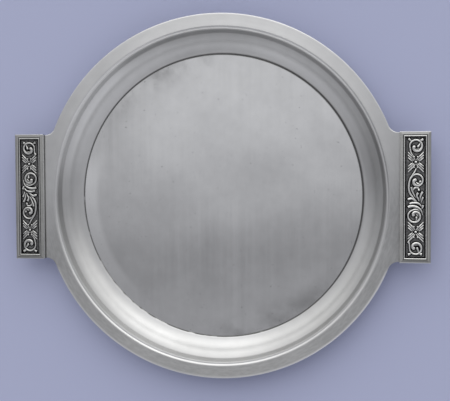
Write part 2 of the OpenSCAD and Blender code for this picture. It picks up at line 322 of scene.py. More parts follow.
shoulder_z = rim_z - step_h
step_slope = math.acos(1 - step_h / (step_r + foot_bend_r))
step_c = Vector((step_middle_r + step_r * math.sin(step_slope), rim_z - step_r))
foot_c = Vector((step_middle_r - foot_bend_r * math.sin(step_slope), shoulder_z + foot_bend_r))
shoulder_c = Vector((foot_c.x - shoulder_w, shoulder_z - shoulder_r))
riser_top = shoulder_c - shoulder_r * into(riser_slope)
riser_foot_z = ledge_z + ledge_bend_r * (1 - math.cos(riser_slope))
riser_foot_x = riser_top.x - (riser_top.y - riser_foot_z) / math.tan(riser_slope)
ledge_c = Vector((riser_foot_x - ledge_bend_r * math.sin(riser_slope), ledge_z + ledge_bend_r))
ogee_start = Vector((well_r + groove_w / 2, sheet_t))
ogee_end_slope = slope_between(ogee_start, Vector((ledge_c.x, ledge_z))) - ogee_swing
ogee_end = ledge_c + ledge_bend_r * into(ogee_end_slope)
ogee_span = ogee_end - ogee_start
ogee_ends = along_sheet(ogee_foot_slope) + along_sheet(ogee_end_slope)
ogee_slope = slope_between(ogee_start, ogee_end) + math.acos(ogee_span @ ogee_ends / 2 / ogee_span.length)
ogee_r = ogee_span.x / (2 * math.sin(ogee_slope) - ogee_ends.y)
wall_bends = [
    (ogee_start - ogee_r * into(ogee_foot_slope), ogee_r, ogee_foot_slope, ogee_slope),
    (ogee_end + ogee_r * into(ogee_end_slope), -ogee_r, ogee_slope, ogee_end_slope),
    (ledge_c, ledge_bend_r, ogee_end_slope, riser_slope),
    (shoulder_c, -shoulder_r, riser_slope, 0),
    (foot_c, foot_bend_r, 0, step_slope),
    (step_c, -step_r, step_slope, 0),
]
print("steepest slope of the ogee, degrees:", round(math.degrees(ogee_slope), 1))

# %% [markdown]
# ## Satin steel
#
# Brushed steel is a bright metal under thousands of fine parallel scratches. The well was brushed straight
# across, along Y, and the wall and rim were brushed round and round while the sheet turned. Both are one
# finish on different strokes: a noise that is stretched along the stroke tints the metal, changes its
# roughness and tilts its surface by a hair. Object coordinates carry the strokes, because the tray never
# moves in its own frame.
#
# Two masks change the steel's colour. One darkens it: dirt and painted shade in the groove round the well,
# smudges and specks in the well, a darker ledge, riser and lower part of the rim, and a painted shadow
# beside
# the frames. The other lightens it: painted highlights on the edges of the step and the rim, a painted
# reflection on the wall at the upper left, and lighter patches on the wall at the right and at the well's
# left edge.

# %% Brushed steel along any stroke
def grey(value):
    return (value, value, value, 1)


def new_finish(name):
    """A metal's material, its shader and its Object coordinates."""
    material = bpy.data.materials.new(name)
    material.use_nodes = True
    tree = material.node_tree
    shader = tree.nodes["Principled BSDF"]
    shader.inputs["Metallic"].default_value = 1
    return material, shader, Wire(tree.nodes.new("ShaderNodeTexCoord").outputs["Object"])


def connect(shader, **wires):
    """Link wires to the shader's sockets, with _ for a space in a socket's name."""
    for name, wire in wires.items():
        shader.id_data.links.new(wire.output, shader.inputs[name.replace("_", " ")])


def brushed(shader, place, stroke, grime_and_shade, highlights_and_patches, base_rough, waver):
    """Brush the shader along a stroke: its vector has millimetres across and slow turns along."""
    bands = stroke.noise(0.11, 2)
    scratches = stroke.noise(2.6, 3)
    clouds = place.noise(14, 3)
    fresh = place.noise(8, 1).ramp(0.4, 0.65)
    mottle = place.noise(90, 3)
    tone = 0.6 * fresh * (bands - 0.5) + 0.2 * scratches + 0.6 * clouds + 0.3 * mottle
    clean = tone.ramp(0.15, 0.95).mix(grey(0.58), grey(0.74))
    # The first mask darkens the steel with grime and painted shade; the second lightens it with painted
    # highlights and lighter patches.
    colour = grime_and_shade.mix(highlights_and_patches.mix(clean, grey(0.95)), grey(0.05))
    rough = base_rough + 0.03 * fresh * bands + 0.04 * clouds + 0.03 * scratches + 0.3 * grime_and_shade
    uneven = {"Strength": 1.0, "Distance": waver, "Height": place.noise(9, 1)}
    fine = {"Strength": 0.15, "Distance": 0.02 * MM, "Height": scratches}
    bump = place.node("ShaderNodeBump", {}, {**fine, "Normal": place.node("ShaderNodeBump", {}, uneven)})
    connect(shader, Base_Color=colour, Roughness=rough, Normal=bump)


print("brushed steel takes any stroke")

# %% Marks of use on the steel
groove_mark_r = well_r + 0.2 * MM
ogee_top_r = well_r + 12 * MM
seam_r = frame_lo.x - 0.35 * MM
step_edge_r = step_middle_r - 0.2 * MM


def towards(x, y, bearing):
    """The cosine of the angle between a point and a bearing, in degrees from +X to +Y."""
    angle = math.radians(bearing)
    return (math.cos(angle) * x + math.sin(angle) * y) / (x * x + y * y) ** 0.5


def left_side(x):
    """1 at the left handle and 0 at the right one."""
    return x.ramp(100 * MM, -100 * MM)


def upper_left_reflection(x, y):
    """The part of the wall at the upper left, where a painted reflection lightens the steel."""
    return towards(x, y, 150).ramp(0.86, 0.97)


def groove_dirt_and_shade(place, x, y, radius):
    """Dirt and painted shade in the groove round the well, thickest at the upper right."""
    lean = towards(x, y, 50)
    worn = (place.noise(110, 3) + 0.4 * lean).ramp(0.0, 0.15)
    near = ((radius - groove_mark_r) / (1.2 + 0.5 * lean) / MM).within(0.25, 1)
    return near * (0.25 + 0.75 * worn) * (0.75 + 0.06 * lean)


def well_grime_and_shade(place, stroke, x, y, radius):
    """Smudges in two corners, a haze at the upper left, specks, and the dirt and painted shade in the
    groove.
    """
    corners = radius.ramp(0.8 * well_r, well_r) * (0 - x * y / well_r**2).ramp(-0.15, 0.25)
    smudges = corners * abs(y / well_r).ramp(0.4, 0.8) * place.noise(26, 4).ramp(0.4, 0.68)
    haze = (0 - x / well_r).ramp(0.35, 0.85) * y.ramp(0, 60 * MM) * (0.06 + 0.14 * stroke.noise(0.2, 2))
    specks = place.noise(330, 2).ramp(0.70, 0.78)
    return (0.45 * smudges + haze + 0.3 * specks).larger(groove_dirt_and_shade(place, x, y, radius))


def rim_shade_and_darkening(place, x, y, radius, off_tabs):
    """Darker steel on the ledge and riser and on the lower part of the rim, a painted shadow at the foot of
    each frame, and the groove's dirt and painted shade.
    """
    # Darker towards the ledge and riser, and less so where the painted reflection lies at the upper left
    wall = 0.12 * radius.ramp(ogee_top_r, ledge_c.x) + 0.24 * radius.ramp(ledge_c.x, riser_foot_x)
    wall = wall * (1 - radius.ramp(riser_top.x, foot_c.x)) * (1 - 0.6 * upper_left_reflection(x, y))
    rolled = radius.ramp(rim_r - 2 * roll_w, rim_r - roll_w) * off_tabs
    flat = radius.ramp(step_c.x - MM, step_c.x + MM) - rolled
    marks = place.vector(radius / MM, 40 * x / radius, 40 * y / radius).noise(0.6, 3).ramp(0.35, 0.65)
    # The lower part of the rim is darker, in patches
    lower_rim_darkening = (0.2 + towards(x, y, -84)).ramp(0.0, 0.5) * (0.13 + 0.24 * place.noise(22, 3) + 0.1 * marks)
    # A painted shadow along the foot of each frame, stronger at the left one
    seam_shadow = ((abs(x) - seam_r) / MM).within(0.2, 0.75) * abs(y).ramp(frame_hi.y, frame_hi.y - 0.5 * MM)
    dull = wall + flat * lower_rim_darkening + (0.05 + 0.45 * left_side(x)) * seam_shadow
    return dull.larger(groove_dirt_and_shade(place, x, y, radius))


def rim_highlights_and_patches(x, y, radius, off_tabs):
    """Painted highlights on the edge of the step and on the outer edge on the near side, a painted
    reflection on the wall at the upper left, and a lighter patch on the wall at the right.
    """
    step_edge_highlight = ((radius - step_edge_r) / MM).within(0.2, 0.9)
    outer_edge_highlight = radius.ramp(rim_r - 1.3 * roll_w, rim_r - 0.75 * roll_w) * off_tabs
    outer_edge_highlight = outer_edge_highlight * (0.3 + towards(x, y, -90)).ramp(0.0, 0.6)
    upper_wall = radius.between(ogee_top_r, ogee_top_r + 3 * MM, shoulder_c.x, step_middle_r)
    lower_wall = radius.between(well_r + 1.5 * MM, well_r + 3 * MM, ogee_top_r - MM, ogee_top_r + 2 * MM)
    right_patch = towards(x, y, 32).ramp(0.3, 0.8) * lower_wall
    return 0.4 * step_edge_highlight + 0.5 * outer_edge_highlight + 0.4 * upper_left_reflection(x, y) * upper_wall + 0.35 * right_patch


# The groove's dark line is partly dirt and partly painted shade.
print("dirt in the groove lies at, mm:", round(groove_mark_r / MM, 1))

# %% Steel of the well and of the rim
def well_finish():
    material, shader, place = new_finish("well_steel")
    x, y, _ = place.xyz()
    radius = (x * x + y * y) ** 0.5
    stroke = place.vector(x / MM, y / (70 * MM), 0)
    grime_and_shade = well_grime_and_shade(place, stroke, x, y, radius)
    # A lighter patch near the edge of the well at the left
    highlights_and_patches = 0.45 * radius.ramp(0.88 * well_r, 0.93 * well_r) * towards(x, y, 196).ramp(0.78, 0.95)
    brushed(shader, place, stroke, grime_and_shade, highlights_and_patches, base_rough=0.07, waver=1.2 * MM)
    return material


def rim_finish():
    material, shader, place = new_finish("rim_steel")
    x, y, _ = place.xyz()
    radius = (x * x + y * y) ** 0.5
    stroke = place.vector(radius / MM, 2.5 * x / radius, 2.5 * y / radius)
    off_tabs = abs(y).ramp(frame_hi.y + 2 * MM, frame_hi.y + 14 * MM)
    grime_and_shade = rim_shade_and_darkening(place, x, y, radius, off_tabs)
    highlights_and_patches = rim_highlights_and_patches(x, y, radius, off_tabs)
    brushed(shader, place, stroke, grime_and_shade, highlights_and_patches, base_rough=0.28, waver=0.4 * MM)
    shader.inputs["Anisotropic"].default_value = 0.8
    shader.inputs["Anisotropic Rotation"].default_value = 0.25
    return material


well_steel = well_finish()
rim_steel = rim_finish()
print("finishes:", well_steel.name, rim_steel.name)

# %% [markdown]
# ## A section carried round an outline
#
# The tray, the frames and the rivets are all a section carried round an outline, so one Geometry Nodes
# tree makes them. A grid has a row for each point of the section and a column for each point of the
# outline. A section point holds three numbers: how much of the outline's own position it takes, how much
# of the outline's lean it adds, and its height. Merging what coincides closes the seam and both poles.

# %% The tree that carries a section round an outline
merge_distance = 0.001 * MM
sharp_bend = math.radians(40)


def new_tree(name, **sockets):
    """A geometry tree with these inputs by kind, with _ for a space, and one geometry output."""
    tree = bpy.data.node_groups.new(name, "GeometryNodeTree")
    kinds = {title.replace("_", " "): kind for title, kind in sockets.items()}
    for title, kind in kinds.items():
        tree.interface.new_socket(title, in_out="INPUT", socket_type=f"NodeSocket{kind}")
    tree.interface.new_socket("Geometry", in_out="OUTPUT", socket_type="NodeSocketGeometry")
    source = tree.nodes.new("NodeGroupInput")
    target = tree.nodes.new("NodeGroupOutput")
    return tree, target, [Wire(source.outputs[title]) for title in kinds]


def smoothed(shell, sharp):
    """A shell with smooth faces, and with the edges in a selection left sharp."""
    shell = shell.node("GeometryNodeSetShadeSmooth", {"domain": "FACE"}, {0: shell})
    edges = {0: shell, "Selection": sharp, "Shade Smooth": False}
    return shell.node("GeometryNodeSetShadeSmooth", {"domain": "EDGE"}, edges)


def finished(shape, finish):
    """Plain geometry in one finish, which is how every tree ends."""
    shape = shape.node("GeometryNodeRealizeInstances", {}, {0: shape})
    return shape.node("GeometryNodeSetMaterial", {}, {0: shape, "Material": finish})


def carried_section_tree():
    tree, target, wires = new_tree(
        "carried_section", Section="Geometry", Outline="Object", Middle="Vector",
        Inner_Radius="Float", Finish="Material", Inner_Finish="Material",
    )
    section, outline, middle, inner_radius, finish, inner_finish = wires
    node = section.node

    def whole(operation, a, b):
        return node("FunctionNodeIntegerMath", {"operation": operation}, {0: a, 1: b})

    def sampled(geometry, value, at):
        settings = {"data_type": "FLOAT_VECTOR"}
        return node("GeometryNodeSampleIndex", settings, {0: geometry, "Value": value, "Index": at})

    loop = node("GeometryNodeObjectInfo", {}, {"Object": outline}, "Geometry")
    rows = node("GeometryNodeAttributeDomainSize", {}, {0: section})
    loop_points = node("GeometryNodeAttributeDomainSize", {}, {0: loop})
    columns = whole("ADD", loop_points, 1)
    grid = node("GeometryNodeMeshGrid", {}, {"Vertices X": rows, "Vertices Y": columns})
    index = node("GeometryNodeInputIndex")
    row = whole("DIVIDE_FLOOR", index, columns)
    column = whole("MODULO", whole("MODULO", index, columns), loop_points)
    position = node("GeometryNodeInputPosition")
    lean = node("GeometryNodeInputNamedAttribute", {"data_type": "FLOAT_VECTOR"}, {"Name": "lean"})
    share, leaning, height = sampled(section, position, row).xyz()
    reach = sampled(loop, position, column).scaled(share)
    shift = sampled(loop, lean, column).scaled(leaning)
    place = section.vector_maths("ADD", reach, shift)
    place = section.vector_maths("ADD", place, section.vector(0, 0, height))
    place = section.vector_maths("ADD", place, middle)
    shell = node("GeometryNodeSetPosition", {}, {0: grid, "Position": place})
    shell = node("GeometryNodeMergeByDistance", {}, {0: shell, "Distance": merge_distance})
    bend = node("GeometryNodeInputMeshEdgeAngle")
    shell = finished(smoothed(shell, bend.maths("GREATER_THAN", bend, sharp_bend)), finish)
    distance = position.vector_maths("LENGTH", position, output=1)
    inside = distance.maths("LESS_THAN", distance, inner_radius)
    middle_part = {0: shell, "Selection": inside, "Material": inner_finish}
    shell = node("GeometryNodeSetMaterial", {}, middle_part)
    tree.links.new(shell.output, target.inputs[0])
    return tree


def grown(tree, name, source, **inputs):
    """What a tree makes from a source mesh and named inputs, kept as a plain mesh."""
    holder = new_object(name + "_source", source)
    modifier = holder.modifiers.new("grow", "NODES")
    modifier.node_group = tree
    for item in tree.interface.items_tree:
        title = item.name.replace(" ", "_")
        if title in inputs:
            modifier[item.identifier] = inputs[title]
    depsgraph = bpy.context.evaluated_depsgraph_get()
    mesh = bpy.data.meshes.new_from_object(holder.evaluated_get(depsgraph), depsgraph=depsgraph)
    mesh.name = name
    holder.modifiers.remove(modifier)
    bpy.data.objects.remove(holder)
    return mesh


def points_mesh(name, points, edges=(), **attributes):
    """A mesh of loose points, with vector or float attributes."""
    mesh = bpy.data.meshes.new(name)
    mesh.from_pydata(points, edges, [])
    for title, values in attributes.items():
        scalar = isinstance(values[0], float)
        made = mesh.attributes.new(title, "FLOAT" if scalar else "FLOAT_VECTOR", "POINT")
        flat = values if scalar else [x for value in values for x in value]
        made.data.foreach_set("value" if scalar else "vector", flat)
    return mesh


def hidden_object(mesh):
    """An object that only a tree reads."""
    return new_object(mesh.name, mesh)


def placed(name, mesh, node):
    """A finished piece that stands for a CAD node and rides on the part's only body."""
    piece = new_object(name, mesh)
    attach(piece, "root")
    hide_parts(node)
    mesh.calc_loop_triangles()
    print(name, "has", len(mesh.loop_triangles), "triangles")


def at_both_handles(name, mesh, node):
    """A piece at the right handle, and the same piece turned half round at the left one."""
    left_mesh = mesh.copy()
    left_mesh.transform(Matrix.Rotation(math.pi, 4, "Z"))
    placed("right_" + name, mesh, "right_" + node)
    placed("left_" + name, left_mesh, "left_" + node)


carried_section = carried_section_tree()
print("tree:", carried_section.name, "with", len(carried_section.nodes), "nodes")

# %% [markdown]
# The section follows the upper face from the middle of the well out to the rim, goes round the rolled edge
# and comes back along the lower face. Its wall is the chain of bends from above, drawn twice.

# %% The section, from the middle of the well out to the rim and back under the sheet
def wall_face(depth, steps):
    """Points along one face of the wall, a depth below the upper face."""
    face = []
    for centre, r, start, end in wall_bends:
        for i in range(steps + 1):
            face.append(centre + (r + depth) * into(start + (end - start) * i / steps))
    return face


edge_r = 0.4 * MM
edge_steps = 6
hold = 0.4 * MM
flat_rings = [0, 35 * MM, 75 * MM, 112 * MM, 132 * MM]
groove_steps = 6
upper_steps = 10
lower_steps = 6


def sheet_section():
    """Section points: radius, share of the way from the round rim to the outline, and height."""
    points = [(r, 0, sheet_t) for r in flat_rings]
    points.append((well_r - groove_w / 2 - hold, 0, sheet_t))
    for i in range(groove_steps):
        f = i / groove_steps
        dip = groove_depth * (1 - abs(2 * f - 1) ** 1.5)
        points.append((well_r + groove_w * (f - 0.5), 0, sheet_t - dip))
    points += [(p.x, 0, p.y) for p in wall_face(0, upper_steps)]
    points.append((step_c.x + hold, 0, rim_z))
    points.append((rim_r - roll_w - hold, 1, rim_z))
    for i in range(edge_steps + 1):
        a = math.pi / 2 * i / edge_steps
        points.append((rim_r - roll_w * (1 - math.sin(a)), 1, rim_z - roll_h * (1 - math.cos(a))))
    for i in range(edge_steps + 1):
        a = math.pi / 2 * i / edge_steps
        points.append((rim_r - edge_r * (1 - math.cos(a)), 1, rim_z - sheet_t + edge_r * (1 - math.sin(a))))
    points.append((rim_r - edge_r - hold, 1, rim_z - sheet_t))
    points.append((step_c.x + hold, 0, rim_z - sheet_t))
    points += [(p.x, 0, p.y) for p in reversed(wall_face(sheet_t, lower_steps))]
    points.append((ogee_start.x - hold, 0, 0))
    points += [(r, 0, 0) for r in reversed(flat_rings)]
    return points


print("section points:", len(sheet_section()))

# %% [markdown]
# The outline is the round rim with a tab at each side and a hollow fillet in every corner. A column of
# the grid runs outwards along the direction of its outline point: its share of that direction is the
# section's radius, and its lean is the step from the round rim out to the outline.

# %% The outline with its two tabs
tab_end = tray_hi.x
tab_half = frame_hi.y - (frame_hi.x - tab_end)
tab_fillet_r = 10 * MM
tab_end_steps = 30
tab_side_steps = 8
fillet_steps = 12
rim_steps = 130


def tray_outline():
    fillet_y = tab_half + tab_fillet_r
    fillet_x = math.sqrt((rim_r + tab_fillet_r) ** 2 - fillet_y**2)
    rim_start = math.atan2(fillet_y, fillet_x)
    quarter = [(tab_end, tab_half * i / tab_end_steps) for i in range(tab_end_steps)]
    for i in range(tab_side_steps):
        quarter.append((tab_end + (fillet_x - tab_end) * i / tab_side_steps, tab_half))
    for i in range(fillet_steps):
        a = -math.pi / 2 - (math.pi / 2 - rim_start) * i / fillet_steps
        quarter.append((fillet_x + tab_fillet_r * math.cos(a), fillet_y + tab_fillet_r * math.sin(a)))
    for i in range(rim_steps + 1):
        a = rim_start + (math.pi / 2 - rim_start) * i / rim_steps
        quarter.append((rim_r * math.cos(a), rim_r * math.sin(a)))
    half = quarter + [(-x, y) for x, y in reversed(quarter[:-1])]
    return half + [(-x, -y) for x, y in half[1:-1]]


outline = [Vector((x, y, 0)) for x, y in tray_outline()]
rays = [p.normalized() for p in outline]
leans = [p - rim_r * ray for p, ray in zip(outline, rays)]
tray_loop = hidden_object(points_mesh("tray_outline", rays, lean=leans))
tray_mesh = grown(
    carried_section, "tray_sheet", points_mesh("tray_section", sheet_section()),
    Outline=tray_loop, Inner_Radius=well_r - groove_w / 2, Finish=rim_steel, Inner_Finish=well_steel,
)
bpy.data.objects.remove(tray_loop)
placed("tray_sheet", tray_mesh, "tray_body")

# %% [markdown]
# ## Handle frames
#
# Each frame is a cast moulding round a rectangle: a square outer wall, a small chamfer, a hollow cove that
# rises to a flat lip, and the wall of the pocket. It is the same kind of shape as the sheet, a section
# carried round an outline, so the same tree makes it. Here the outline is a rectangle with softly rounded
# corners, and the lean of a corner points inwards, which mitres the moulding.
#
# Painted highlights lie along the top edges of a frame's ends and on its wall towards the well, and its
# outer lip is a little lighter. Painted shade darkens its foot, its pocket and the gap beside the plaque at
# its lower end. The coves at the ends of the left frame and the outer side of the right one are darker too,
# and the left frame is the darker one.

# %% Cast frame finish
frame_half = (frame_hi - frame_lo) / 2
frame_middle = (frame_lo + frame_hi) / 2
frame_middle.z = rim_z
frame_h = frame_hi.z - rim_z


def frame_finish():
    material, shader, place = new_finish("frame_steel")
    x, y, z = place.xyz()
    grain = place.noise(900, 4)
    clouds = place.noise(60, 3)
    stroke = place.vector(x / (0.5 * MM), y / (12 * MM), 0).noise(1.0, 3)
    worn = (0.4 * stroke + 0.3 * grain + 0.3 * clouds).ramp(0.3, 0.7)
    clean = worn.mix((0.38, 0.38, 0.37, 1), (0.52, 0.52, 0.505, 1))
    left = left_side(x)
    # Millimetres above the rim, outwards from the frame's middle, and inwards from its sides and its ends
    up = (z - rim_z) / MM
    outwards = (abs(x) - frame_middle.x) / MM
    beside = (frame_half.x - abs(abs(x) - frame_middle.x)) / MM
    beyond = (frame_half.y - abs(y)) / MM
    # Painted shade: darker low down, at the frame's foot and on the walls of its pocket
    low = 1 - up.ramp(0.5, 4.2)
    end = (beside - beyond).ramp(-0.2, 0.2)
    end_cove = end * beyond.between(0.7, 1.8, 2.1, 2.6)
    # Painted shade in the gap beside the plaque at the lower end
    lower_gap_shade = end * y.ramp(10 * MM, -10 * MM) * beyond.ramp(1.0, 2.5)
    outer_side = (1 - end) * outwards.ramp(9, 11)
    outer_lip = outer_side * beside.ramp(1.6, 2.4)
    shade_and_darkening = 0.75 * low + 0.2 * left + 0.25 * left * end_cove + (0.65 - 0.45 * left) * lower_gap_shade
    shade_and_darkening = shade_and_darkening + 0.25 * (1 - left) * (outer_side - outer_lip)
    # Painted highlights on the top edges of the ends and on the wall towards the well
    end_edge_highlight = beyond.within(0.35, 0.9) * (up - frame_h / MM).ramp(-1.1, -0.6)
    inner_wall_highlight = (0 - outwards).ramp(9, 11) * beside.within(0.02, 0.25) * up.ramp(0.6, 1.8)
    highlights_and_patches = (0.7 - 0.35 * left) * end_edge_highlight + (0.14 + 0.12 * left) * outer_lip + 0.85 * inner_wall_highlight
    colour = highlights_and_patches.mix(shade_and_darkening.mix(clean, grey(0.10)), (0.92, 0.92, 0.91, 1))
    rough = 0.30 + 0.12 * worn + 0.2 * low
    rub = {"Strength": 0.3, "Distance": 0.03 * MM, "Height": grain + stroke}
    bump = place.node("ShaderNodeBump", {}, rub)
    connect(shader, Base_Color=colour, Roughness=rough, Normal=bump)
    return material


frame_steel = frame_finish()
print("finish:", frame_steel.name)

# %% Carry the moulding round both frames
plaque_lo, plaque_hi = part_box("right_ornament_plaque")
pocket_z = plaque_lo.z - rim_z
side_border_w = 3.2 * MM
end_border_w = 3 * MM
lip_w = 0.9 * MM
cove_depth = 0.2 * MM
edge_chamfer = 0.5 * MM
lip_round = 0.3 * MM
corner_r = 0.35 * MM
cove_steps = 10


def frame_section():
    """Section points: whole outline or none, distance inwards from it, and height above the rim."""
    wall = frame_h - cove_depth - edge_chamfer
    cove_w = side_border_w - lip_w - edge_chamfer
    points = [(0, 0, pocket_z), (1, side_border_w, pocket_z)]
    points.append((1, side_border_w, frame_h - lip_round))
    points.append((1, side_border_w - lip_round, frame_h))
    for i in range(cove_steps, -1, -1):
        f = i / cove_steps
        rise = cove_depth * (1 - math.cos(math.pi / 2 * f))
        points.append((1, edge_chamfer + cove_w * f, wall + edge_chamfer + rise))
    points += [(1, 0, wall), (1, 0, 0), (0, 0, 0)]
    return points


def rounded_corners(half_x, half_y, r, steps=4):
    """A rectangle's corners as short arcs, with the corner that each point belongs to."""
    points = []
    for i, (sx, sy) in enumerate(((1, 1), (-1, 1), (-1, -1), (1, -1))):
        for k in range(steps + 1):
            a = math.pi / 2 * (i + k / steps)
            corner = Vector((sx * (half_x - r), sy * (half_y - r), 0))
            points.append((corner + r * Vector((math.cos(a), math.sin(a), 0)), (sx, sy)))
    return points


corners = rounded_corners(frame_half.x, frame_half.y, corner_r)
mitres = [Vector((-sx, -sy * end_border_w / side_border_w, 0)) for p, (sx, sy) in corners]
frame_loop = hidden_object(points_mesh("frame_outline", [p for p, signs in corners], lean=mitres))
frame_mesh = grown(
    carried_section, "right_moulded_frame", points_mesh("frame_section", frame_section()),
    Outline=frame_loop, Middle=frame_middle, Finish=frame_steel,
)
bpy.data.objects.remove(frame_loop)
at_both_handles("moulded_frame", frame_mesh, "handle_frame")

# %% [markdown]
# ## Cast plaques
#
# The plaque is a casting: scrolls, leaves and two rosettes in relief on a sunk field, inside a raised rim.
# The relief could be piled up from tubes, but their ends would show as sharp seams. A casting is one skin,
# so a fine grid is dropped onto the tubes from above: every grid point falls on the highest thing below
# it, and a slight blur melts the seams together, as in a sand mould. The tree also keeps how proud of its
# surroundings each point stands, and the finish polishes what stands proud and blackens the rest.

# %% The tree that casts a relief
drop_h = 10 * MM
square_bend = math.radians(60)


def raised_relief(strands, knobs, spacing):
    """Stems along the strands and balls on the knobs, as one mesh."""
    node = strands.node
    swell = node("GeometryNodeInputNamedAttribute", {"data_type": "FLOAT"}, {"Name": "swell"})
    curves = node("GeometryNodeMeshToCurve", {}, {0: strands})
    curves = node("GeometryNodeCurveSplineType", {"spline_type": "CATMULL_ROM"}, {0: curves})
    pieces = {0: curves, "Length": 1.5 * spacing}
    curves = node("GeometryNodeResampleCurve", {"mode": "LENGTH"}, pieces)
    ring = node("GeometryNodeCurvePrimitiveCircle", {}, {"Resolution": 20, "Radius": 1.0})
    sweep = {0: curves, 1: ring, "Scale": swell, "Fill Caps": True}
    stems = node("GeometryNodeCurveToMesh", {}, sweep)
    dots = node("GeometryNodeObjectInfo", {}, {"Object": knobs}, "Geometry")
    ball = node("GeometryNodeMeshUVSphere", {}, {"Segments": 24, "Rings": 12, "Radius": 1.0})
    balls = node("GeometryNodeInstanceOnPoints", {}, {0: dots, "Instance": ball, "Scale": swell})
    balls = node("GeometryNodeRealizeInstances", {}, {0: balls})
    return node("GeometryNodeJoinGeometry", {}, {0: [stems, balls]})


def skin_height(raised, width, length, rim_w, rim_h, ridge_w):
    """How high the casting stands at a point of the grid: the relief below it, or the raised rim."""
    node = raised.node
    x, y, _ = node("GeometryNodeInputPosition").xyz()
    above = raised.vector(x, y, drop_h)
    drop = {0: raised, "Source Position": above, "Ray Direction": (0, 0, -1), "Ray Length": drop_h}
    relief = node("GeometryNodeRaycast", {}, drop, "Hit Position").xyz()[2]
    ridge = ridge_w * (relief / ridge_w) ** 1.25
    relief = rim_h * ridge.maths("TANH", ridge / rim_h)
    edge = (width / 2 - abs(x)).smaller(length / 2 - abs(y))
    aside = 2 * edge / rim_w - 1
    inner = aside.larger(0).smaller(1)
    outer = aside.smaller(0)
    rim = rim_h * ((1 - inner**2.5) ** 0.4 - 0.5 * outer**2)
    return relief.larger(rim)


def cast_skin(grid, height):
    """The grid at a slightly blurred height, with how proud each point stands kept on it."""
    node = grid.node
    numbers = {"data_type": "FLOAT"}
    skin = node("GeometryNodeBlurAttribute", numbers, {0: height, "Iterations": 1, "Weight": 0.5})
    kept = {0: grid, "Name": "skin", "Value": skin}
    grid = node("GeometryNodeStoreNamedAttribute", numbers, kept)
    skin = node("GeometryNodeInputNamedAttribute", numbers, {"Name": "skin"})
    around = node("GeometryNodeBlurAttribute", numbers, {0: skin, "Iterations": 40, "Weight": 1.0})
    kept = {0: grid, "Name": "proud", "Value": skin - around}
    grid = node("GeometryNodeStoreNamedAttribute", numbers, kept)
    x, y, _ = node("GeometryNodeInputPosition").xyz()
    cast = node("GeometryNodeSetPosition", {}, {0: grid, "Position": grid.vector(x, y, skin)})
    return node("GeometryNodeRemoveAttribute", {}, {0: cast, "Name": "skin"})


def closed_below(skin, base):
    """The skin with walls down to its base and a fan of faces under it."""
    node = skin.node
    x, y, _ = node("GeometryNodeInputPosition").xyz()
    neighbours = node("GeometryNodeInputMeshEdgeNeighbors")
    border = neighbours.maths("LESS_THAN", neighbours, 1.5)
    edges = {"mode": "EDGES"}
    wall = {0: skin, "Selection": border, "Offset Scale": 0.0}
    walled = node("GeometryNodeExtrudeMesh", edges, wall)
    foot = {0: walled, "Selection": walled.other("Top"), "Position": skin.vector(x, y, base)}
    footed = node("GeometryNodeSetPosition", {}, foot)
    fan = {0: footed, "Selection": walled.other("Top"), "Offset Scale": 0.0}
    closed = node("GeometryNodeExtrudeMesh", edges, fan)
    pole = {0: closed, "Selection": closed.other("Top"), "Position": skin.vector(0, 0, base)}
    solid = node("GeometryNodeSetPosition", {}, pole)
    return node("GeometryNodeMergeByDistance", {}, {0: solid, "Distance": merge_distance})


def cast_relief_tree():
    tree, target, wires = new_tree(
        "cast_relief", Strands="Geometry", Knobs="Object", Width="Float", Length="Float", Spacing="Float",
        Rim_Width="Float", Rim_Height="Float", Ridge="Float", Base="Float", Middle="Vector",
        Finish="Material",
    )
    strands, knobs, width, length, spacing, rim_w, rim_h, ridge_w, base, middle, finish = wires
    raised = raised_relief(strands, knobs, spacing)
    counts = {"Vertices X": width / spacing, "Vertices Y": length / spacing}
    grid = strands.node("GeometryNodeMeshGrid", {}, {"Size X": width, "Size Y": length, **counts})
    cast = cast_skin(grid, skin_height(raised, width, length, rim_w, rim_h, ridge_w))
    solid = closed_below(cast, base)
    solid = strands.node("GeometryNodeSetPosition", {}, {0: solid, "Offset": middle})
    bend = strands.node("GeometryNodeInputMeshEdgeAngle")
    low = strands.node("GeometryNodeInputPosition").xyz()[2] - middle.xyz()[2]
    square = bend.maths("GREATER_THAN", bend, square_bend) * low.maths("LESS_THAN", low, 0.2 * base)
    solid = finished(smoothed(solid, square), finish)
    tree.links.new(solid.output, target.inputs[0])
    return tree


cast_relief = cast_relief_tree()
print("tree:", cast_relief.name, "with", len(cast_relief.nodes), "nodes")

# %% Scrolls, leaves and rosettes of the relief
plate_t = 1.3 * MM
field_z = plaque_lo.z + plate_t
plaque_half = (plaque_hi - plaque_lo) / 2
plaque_middle = Vector((plaque_lo.x + plaque_half.x, plaque_lo.y + plaque_half.y, field_z))
curl_in = 5
scroll_points = 28
# How much wider a cast strand is at its foot than the stem that is drawn
foot_swell = 1.15
# Scrolls, in mm from the plaque's middle: centre, first and last radius, first angle and turn in degrees
scrolls = [
    ((0.5, 48.2), 5.8, 2.0, 205, -360),
    ((1.3, 16.2), 5.6, 1.5, 135, -325),
    ((-0.9, -17.6), 5.8, 1.5, 110, 380),
    ((0.3, -47.9), 5.6, 1.8, 170, 370),
]
scroll_widths = (0.7, 0.95, 1.45)
